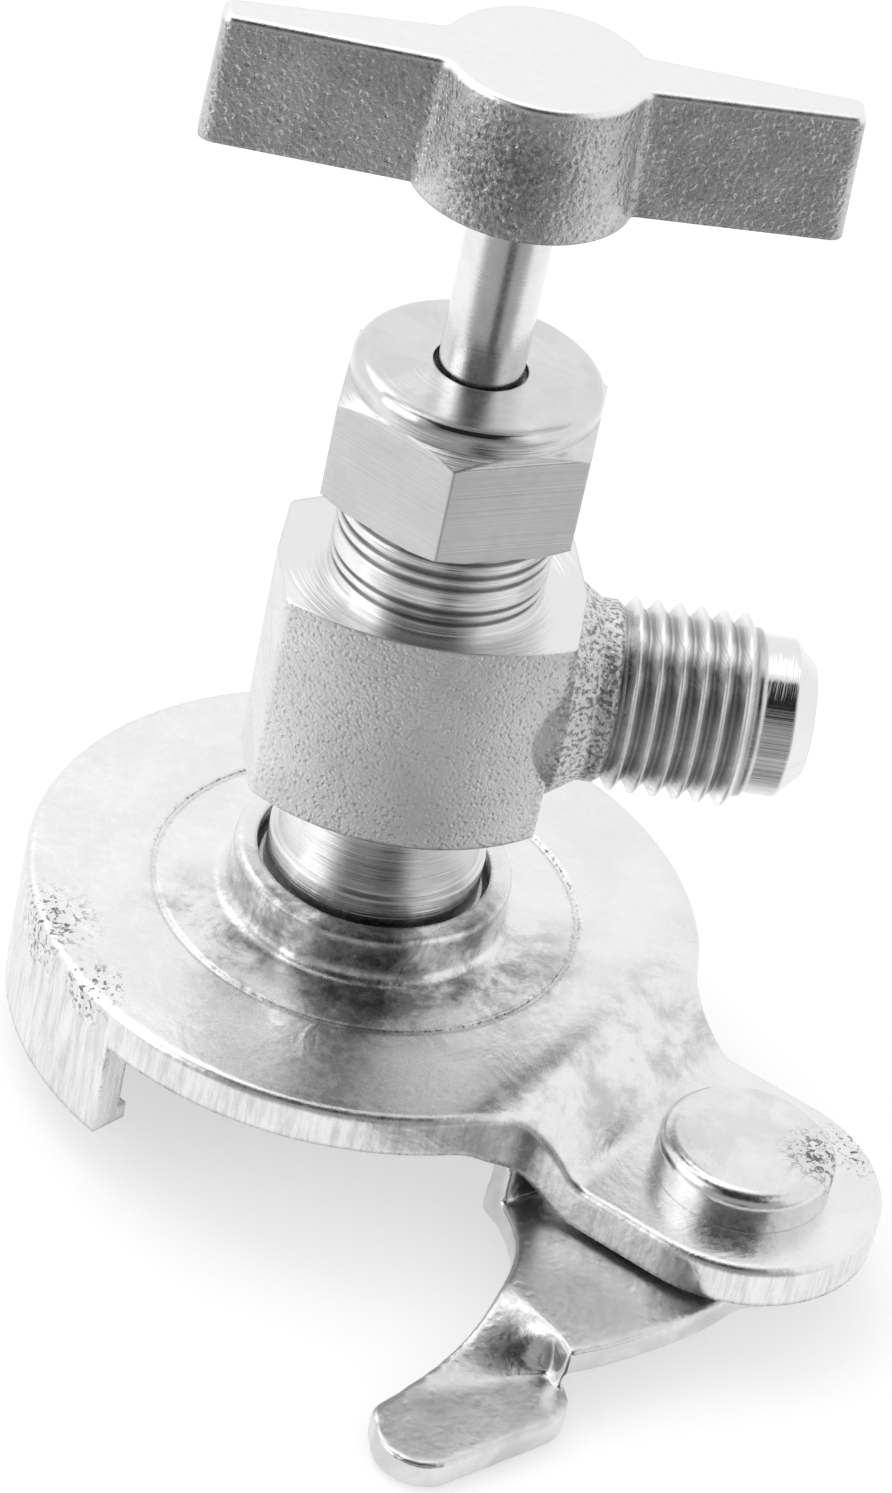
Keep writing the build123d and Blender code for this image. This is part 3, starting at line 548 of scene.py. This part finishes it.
def handle_material():
    """Coarse cast skin on the sides, painted darker than the top as shade; smooth satin on the top.
    """
    material, tree, shader, spot = new_metal("plated casting", CAST_SIDE_SHADED_COLOUR, 0.35)
    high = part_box("handle")[1]
    top = ramp(tree, split(tree, spot)["Z"], high.z - 0.45 * MM, high.z - 0.15 * MM)
    skin = place(tree, GRAIN, {"Place": spot, "Size": 0.26})
    cloud = place(tree, BLOTCHES, {"Place": spot, "Size": 4.5})
    # The sides take a darker colour than the top: painted shade.
    shaded_side = mix_colour(tree, cloud["Patch"], CAST_SIDE_SHADED_BLOTCH, CAST_SIDE_SHADED_COLOUR)
    # Painted shade in the pits of the cast skin.
    shaded_side = mix_colour(tree, calc(tree, "MULTIPLY", skin["PitShade"], CAST_PIT_SHADE_DEPTH), shaded_side,
                      CAST_PIT_SHADE_COLOUR)
    grit = noise(tree, spot, GRIT_SIZE, 3.0, 0.7)
    dark_grit = calc(tree, "MULTIPLY", ramp(tree, grit, 0.55, 0.66), GRIT_DEPTH)
    shaded_side = mix_colour(tree, dark_grit, shaded_side, GRIT_COLOUR)
    full_r, gone_r = RUBBED_REACH
    near = ramp(tree, calc_vector(tree, "DISTANCE", spot, RUBBED_MIDDLE), gone_r, full_r)
    rubbed = calc(tree, "MULTIPLY", near, ramp(tree, grit, 0.38, 0.60))
    shaded_side = mix_colour(tree, calc(tree, "MULTIPLY", rubbed, RUBBED_DEPTH), shaded_side, RUBBED_COLOUR)
    tree.links.new(mix_colour(tree, top, shaded_side, CAST_TOP_COLOUR), shader["Base Color"])
    rough = mix_value(tree, cloud["Mottle"], *CAST_ROUGHNESS)
    smooth = mix_value(tree, cloud["Mottle"], *CAST_TOP_ROUGHNESS)
    tree.links.new(mix_value(tree, top, rough, smooth), shader["Roughness"])
    edges = rounded(tree, CAST_EDGE_R)
    sides = bump(tree, skin["Height"], 1.0, 0.11 * MM, edges)
    flat = bump(tree, cloud["Mottle"], 0.12, 0.04 * MM, edges)
    normal = put(tree, "ShaderNodeMix", {0: top, 4: sides, 5: flat},
                 data_type="VECTOR").outputs[1]
    tree.links.new(normal, shader["Normal"])
    return material


dress("handle", handle_material())

# ---- gasket and soft seals -----------------------------------------------------------------
# A moulded rubber gasket seals on the can; white fluoropolymer makes the packing rings and the
# seat under the needle's cone.
RUBBER_COLOUR = (0.028, 0.028, 0.030, 1)
RUBBER_SHADE = (0.018, 0.018, 0.02, 1)
RUBBER_ROUGHNESS = 0.6
SEAL_COLOUR = (0.88, 0.88, 0.85, 1)
SEAL_SHADE = (0.80, 0.80, 0.76, 1)
SEAL_ROUGHNESS = 0.5


def soft_material(name, colour, darker, roughness):
    """Moulded surface with a faint mottle."""
    material, tree, shader, spot = new_metal(name, colour, roughness)
    shader["Metallic"].default_value = 0.0
    cloud = place(tree, BLOTCHES, {"Place": spot, "Size": 1.5})
    skin = place(tree, GRAIN, {"Place": spot, "Size": 0.2})
    tree.links.new(mix_colour(tree, cloud["Patch"], darker, colour), shader["Base Color"])
    tree.links.new(mix_value(tree, cloud["Mottle"], roughness - 0.1, roughness + 0.1),
                   shader["Roughness"])
    tree.links.new(bump(tree, skin["Height"], 0.3, 0.03 * MM, rounded(tree, 0.15 * MM)),
                   shader["Normal"])
    return material


dress("can_gasket", soft_material("black rubber", RUBBER_COLOUR, RUBBER_SHADE, RUBBER_ROUGHNESS))
SEALS = soft_material("white seal", SEAL_COLOUR, SEAL_SHADE, SEAL_ROUGHNESS)
for seal in ("seat_ring", "packing_ring_lower", "packing_ring_middle", "packing_ring_upper"):
    dress(seal, SEALS)

# ---- swing lever ---------------------------------------------------------------------------
# Stamped from thinner sheet: an eye round the rivet, an upturned jaw for the can's rim, and a
# thumb pad set lower than the rest. Tumbling has rounded every edge and bend.
LEVER_COLOUR = (0.76, 0.76, 0.76, 1)
LEVER_SHADE = (0.62, 0.62, 0.625, 1)
LEVER_ROUGHNESS = (0.28, 0.42)
LEVER_RIM_ROUGHNESS = 0.18
LEVER_T = 1.8 * MM
PAD_DROP = 2.7 * MM
SKIN_CELL = 0.16 * MM
TUMBLED_PASSES = 12
# Plan points, radii and angles below are in millimetres and degrees.
PIVOT = (22.55, -15.56)
RIVET_HOLE_R = 2.62
EYE = (23.45, -13.66)
EYE_R = 7.8
EYE_FROM = -72.0
EYE_TO = 112.0
LEVER_SIDE = ((18.6, -7.6), (15.2, -10.3), (11.15, -14.25), (9.85, -15.2), (8.4, -16.1),
              (9.2, -17.7), (9.75, -19.3), (10.0, -21.0), (9.7, -22.9), (8.9, -24.9),
              (7.6, -27.0), (6.0, -28.9), (4.2, -30.8), (2.5, -32.7), (3.2, -34.2), (6.0, -33.4),
              (9.5, -31.6), (12.6, -29.5), (15.2, -28.2), (17.9, -26.5), (20.6, -24.5),
              (23.2, -22.0))
PAD_MIDDLE = (8.03, -31.91)
PAD_HALF = (2.75, 6.05)
PAD_TURN = math.radians(-54.0)
PAD_CORNER = 2.7
BEND_FROM = ((9.7, -22.8), (12.9, -29.0))
BEND_TO = ((2.0, -33.2), (11.6, -28.4))
LEVER_JAW_R = (18.12, 19.88)
LEVER_JAW_FROM = -62.3
LEVER_JAW_TO = -52.2
LEVER_JAW_BELOW_TOP = 0.1 * MM


def add_prism(mesh_lists, outline, hole, bottom, top):
    """Upright slab over an outline with an optional hole, added to shared vertex and face lists."""
    points, faces = mesh_lists
    loops = [outline] + ([hole] if hole else [])
    start = len(points)
    rings = [[Vector((x, y, 0.0)) for x, y in loop] for loop in loops]
    flat = [v for ring in rings for v in ring]
    points += [(v.x * MM, v.y * MM, bottom) for v in flat]
    points += [(v.x * MM, v.y * MM, top) for v in flat]
    count = len(flat)
    for one, two, three in tessellate_polygon(rings):
        faces.append((start + three, start + two, start + one))
        faces.append((start + count + one, start + count + two, start + count + three))
    base = start
    for loop in loops:
        size = len(loop)
        for i in range(size):
            after = (i + 1) % size
            faces.append((base + i, base + after, base + after + count, base + i + count))
        base += size


def circle(middle, radius, start, stop, steps):
    """Points along part of a circle, in degrees."""
    spread = [math.radians(start + (stop - start) * i / steps) for i in range(steps + 1)]
    return [(middle[0] + radius * math.cos(a), middle[1] + radius * math.sin(a)) for a in spread]


def new_piece(name, points, faces):
    """Object made from points and faces, with its normals turned outward."""
    mesh = bpy.data.meshes.new(name)
    mesh.from_pydata(points, [], faces)
    shape = bmesh.new()
    shape.from_mesh(mesh)
    bmesh.ops.recalc_face_normals(shape, faces=shape.faces)
    shape.to_mesh(mesh)
    shape.free()
    piece = bpy.data.objects.new(name, mesh)
    bpy.context.scene.collection.objects.link(piece)
    return piece


def bake(piece, *modifiers):
    """Apply a list of (type, settings) modifiers to a piece's mesh."""
    for kind, settings in modifiers:
        made = piece.modifiers.new(kind.lower(), kind)
        for key, value in settings.items():
            setattr(made, key, value)
    shape = piece.evaluated_get(bpy.context.evaluated_depsgraph_get())
    mesh = bpy.data.meshes.new_from_object(shape)
    piece.modifiers.clear()
    piece.data = mesh


def beyond(point, line):
    """Signed distance of a plan point from a line, positive on the line's right."""
    (ax, ay), (bx, by) = line
    length = math.hypot(bx - ax, by - ay)
    return ((point[0] - ax) * (by - ay) - (point[1] - ay) * (bx - ax)) / length


def lever_drop(x, y):
    """Fall of the sheet at a plan point: 0 on the flat, the pad's full drop past the bend."""
    past = beyond((x / MM, y / MM), BEND_FROM)
    short = -beyond((x / MM, y / MM), BEND_TO)
    if past <= 0:
        return 0.0
    if short <= 0:
        return PAD_DROP
    share = past / (past + short)
    return PAD_DROP * share * share * (3 - 2 * share)


def rounded_pad():
    """Plan outline of the thumb pad."""
    outline = []
    for sx, sy, start in ((1, 1, 0), (-1, 1, 90), (-1, -1, 180), (1, -1, 270)):
        middle = (sx * (PAD_HALF[0] - PAD_CORNER), sy * (PAD_HALF[1] - PAD_CORNER))
        outline += circle(middle, PAD_CORNER, start, start + 90, 8)
    cos, sin = math.cos(PAD_TURN), math.sin(PAD_TURN)
    return [(PAD_MIDDLE[0] + x * cos - y * sin, PAD_MIDDLE[1] + x * sin + y * cos)
            for x, y in outline]


def smooth_outline(corners, steps):
    """Open Catmull-Rom curve through plan points."""
    ends = [corners[0], *corners, corners[-1]]
    curve = []
    for p0, p1, p2, p3 in zip(ends, ends[1:], ends[2:], ends[3:]):
        for i in range(steps):
            t = i / steps
            curve.append(tuple(0.5 * (2 * b + (c - a) * t + (2 * a - 5 * b + 4 * c - d) * t * t
                                      + (3 * b - a - 3 * c + d) * t ** 3)
                               for a, b, c, d in zip(p0, p1, p2, p3)))
    return curve + [corners[-1]]


def swing_lever_mesh():
    """Stamped lever: flat with its eye, S-bend, dropped pad and upturned jaw."""
    low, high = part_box("swing_lever")
    pad_bottom = low.z
    bottom = pad_bottom + PAD_DROP
    top = bottom + LEVER_T
    outline = smooth_outline(LEVER_SIDE, 6) + circle(EYE, EYE_R, EYE_FROM, EYE_TO, 40)
    hole = circle(PIVOT, RIVET_HOLE_R, 0, 354, 59)
    lists = ([], [])
    add_prism(lists, outline, hole, bottom, top)
    flat = new_piece("swing_lever_stamped", *lists)
    skin = ("REMESH", {"mode": "VOXEL", "voxel_size": SKIN_CELL})
    bake(flat, skin)
    points = [(v.co.x, v.co.y, v.co.z - lever_drop(v.co.x, v.co.y)) for v in flat.data.vertices]
    faces = [tuple(f.vertices) for f in flat.data.polygons]
    lists = (points, faces)
    add_prism(lists, rounded_pad(), None, pad_bottom, pad_bottom + LEVER_T)
    inner, outer = LEVER_JAW_R
    jaw = (circle((0, 0), inner, LEVER_JAW_FROM, LEVER_JAW_TO, 10)
           + circle((0, 0), outer, LEVER_JAW_TO, LEVER_JAW_FROM, 10))
    add_prism(lists, jaw, None, bottom, high.z - LEVER_JAW_BELOW_TOP)
    bpy.data.objects.remove(flat)
    lever = new_piece("swing_lever_stamped", *lists)
    bake(lever, skin, ("SMOOTH", {"factor": 0.6, "iterations": TUMBLED_PASSES}))
    lever.data.shade_smooth()
    return lever


def lever_material():
    """Grey satin plating, cloudy, with a brighter polished rim."""
    material, tree, shader, spot = new_metal("plated lever", LEVER_COLOUR, 0.28)
    cloud = place(tree, BLOTCHES, {"Place": spot, "Size": 3.4})
    fine = place(tree, GRAIN, {"Place": spot, "Size": 0.4})
    tree.links.new(mix_colour(tree, cloud["Patch"], LEVER_SHADE, LEVER_COLOUR),
                   shader["Base Color"])
    flat = ramp(tree, calc(tree, "ABSOLUTE", facing_up(tree)), 0.5, 0.85)
    satin = mix_value(tree, cloud["Mottle"], *LEVER_ROUGHNESS)
    tree.links.new(mix_value(tree, flat, LEVER_RIM_ROUGHNESS, satin), shader["Roughness"])
    tree.links.new(bump(tree, fine["Height"], 0.6, 0.035 * MM), shader["Normal"])
    return material


lever = swing_lever_mesh()
lever.data.materials.clear()
lever.data.materials.append(lever_material())
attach(lever, "lever")
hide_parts("swing_lever")

# ---- floor, light and camera ---------------------------------------------------------------
# A plain pale floor just under the lowest piece, a soft overhead light and a weaker side light.
FLOOR_HALF = 3.0
FLOOR_GAP = 0.2 * MM
FLOOR_COLOUR = (0.60, 0.60, 0.60, 1)
FLOOR_GLOW = 0.47
SKY_FILL = 0.85


def seen_directly(tree):
    """1 where the eye, a reflection or clear glass sees a surface, 0 for the light it sheds."""
    ray = put(tree, "ShaderNodeLightPath").outputs
    mirrored = calc(tree, "MAXIMUM", ray["Is Camera Ray"], ray["Is Glossy Ray"])
    return calc(tree, "MAXIMUM", mirrored, ray["Is Transmission Ray"])


floor_z = cad_box[0].z - FLOOR_GAP
floor_corners = [(x * FLOOR_HALF, y * FLOOR_HALF, floor_z)
                 for x, y in ((-1, -1), (1, -1), (1, 1), (-1, 1))]
floor_mesh = bpy.data.meshes.new("floor")
floor_mesh.from_pydata(floor_corners, [], [(0, 1, 2, 3)])
floor = bpy.data.objects.new("floor", floor_mesh)
bpy.context.scene.collection.objects.link(floor)
floor_material = bpy.data.materials.new("pale floor")
floor_material.use_nodes = True
floor_tree = floor_material.node_tree
floor_shader = floor_tree.nodes["Principled BSDF"]
floor_shader.inputs["Base Color"].default_value = FLOOR_COLOUR
floor_shader.inputs["Roughness"].default_value = 0.9
floor_shader.inputs["Specular IOR Level"].default_value = 0.0
glow_strength = calc(floor_tree, "MULTIPLY", seen_directly(floor_tree), FLOOR_GLOW)
glow = put(floor_tree, "ShaderNodeEmission", {"Strength": glow_strength})
both = put(floor_tree, "ShaderNodeAddShader", {0: floor_shader.outputs[0], 1: glow.outputs[0]})
floor_tree.links.new(both.outputs[0], floor_tree.nodes["Material Output"].inputs["Surface"])
floor_mesh.materials.append(floor_material)

world = bpy.data.worlds.new("studio")
bpy.context.scene.world = world
world.use_nodes = True
sky = world.node_tree
sky.links.new(mix_value(sky, seen_directly(sky), SKY_FILL, 1.0),
              sky.nodes["Background"].inputs["Strength"])
sky.nodes["Background"].inputs["Color"].default_value = (1, 1, 1, 1)


def studio_card(name, corners, shade):
    """Flat card that only reflections see, as the dark room round a light tent would be."""
    mesh = bpy.data.meshes.new(name)
    mesh.from_pydata(corners, [], [(0, 1, 2, 3)])
    card = bpy.data.objects.new(name, mesh)
    bpy.context.scene.collection.objects.link(card)
    surface = bpy.data.materials.new(name)
    surface.use_nodes = True
    tree = surface.node_tree
    emit = put(tree, "ShaderNodeEmission", {"Color": (shade, shade, shade, 1), "Strength": 1.0})
    tree.links.new(emit.outputs[0], tree.nodes["Material Output"].inputs["Surface"])
    mesh.materials.append(surface)
    card.visible_camera = False
    card.visible_diffuse = False
    card.visible_shadow = False
    card.visible_transmission = False


CARD_FAR = -0.34
HOLE_FAR = CARD_FAR + 0.02
CEILING = 0.42
LOW_CARD_Z = floor_z + 0.1 * MM
LOW_STRIP_Z = floor_z + 0.2 * MM
studio_card("grey_floor_card", ((-0.20, -0.044, LOW_CARD_Z), (-0.40, CARD_FAR, LOW_CARD_Z),
                                (0.36, CARD_FAR, LOW_CARD_Z), (0.20, -0.044, LOW_CARD_Z)), 0.40)
studio_card("dark_floor_strip", ((0.0, -0.05, LOW_STRIP_Z), (0.0, -0.30, LOW_STRIP_Z),
                                 (0.08, -0.30, LOW_STRIP_Z), (0.028, -0.05, LOW_STRIP_Z)), 0.08)
studio_card("grey_front_wall", ((-0.40, CARD_FAR, floor_z), (0.36, CARD_FAR, floor_z),
                                (0.36, CARD_FAR, 0.40), (-0.40, CARD_FAR, 0.40)), 0.42)
studio_card("camera_hole", ((-0.26, HOLE_FAR, 0.18), (0.22, HOLE_FAR, 0.18),
                            (0.22, HOLE_FAR, CEILING), (-0.26, HOLE_FAR, CEILING)), 0.02)
studio_card("ceiling_gap", ((-0.26, HOLE_FAR, CEILING), (0.22, HOLE_FAR, CEILING),
                            (0.22, -0.02, CEILING), (-0.26, -0.02, CEILING)), 0.02)


def soft_light(name, place_at, aim, size, power):
    """Square area light aimed at a point."""
    data = bpy.data.lights.new(name, "AREA")
    data.shape = "SQUARE"
    data.size = size
    data.energy = power
    lamp = bpy.data.objects.new(name, data)
    lamp.location = place_at
    lamp.rotation_mode = "QUATERNION"
    lamp.rotation_quaternion = (Vector(aim) - Vector(place_at)).to_track_quat("-Z", "Y")
    bpy.context.scene.collection.objects.link(lamp)


LIGHT_AIM = (0, 0, 0.02)
soft_light("overhead", (-0.15, 0.15, 0.45), LIGHT_AIM, size=0.40, power=0.55)
soft_light("shaded_side", (-0.45, -0.15, 0.22), LIGHT_AIM, size=0.30, power=0.35)

# The camera looks slightly down and is rolled, so that the stem leans to the right.
SENSOR_WIDTH = 36.0
LENS = 123.1
CAMERA_PLACE = (-0.027894, -0.234954, 0.184466)
camera_data = bpy.data.cameras.new("camera")
camera_data.sensor_width = SENSOR_WIDTH
camera_data.lens = LENS
camera_data.clip_start = 0.01
camera = bpy.data.objects.new("camera", camera_data)
camera_right = Vector((0.98394, 0.00137, 0.17848))
camera_up = Vector((-0.14443, 0.59363, 0.79167))
camera_back = Vector((-0.10486, -0.80474, 0.58429))
turn = Matrix((camera_right, camera_up, camera_back)).transposed().to_4x4()
camera.matrix_world = Matrix.Translation(CAMERA_PLACE) @ turn
bpy.context.scene.collection.objects.link(camera)
bpy.context.scene.camera = camera
bpy.context.scene.view_settings.view_transform = "Standard"
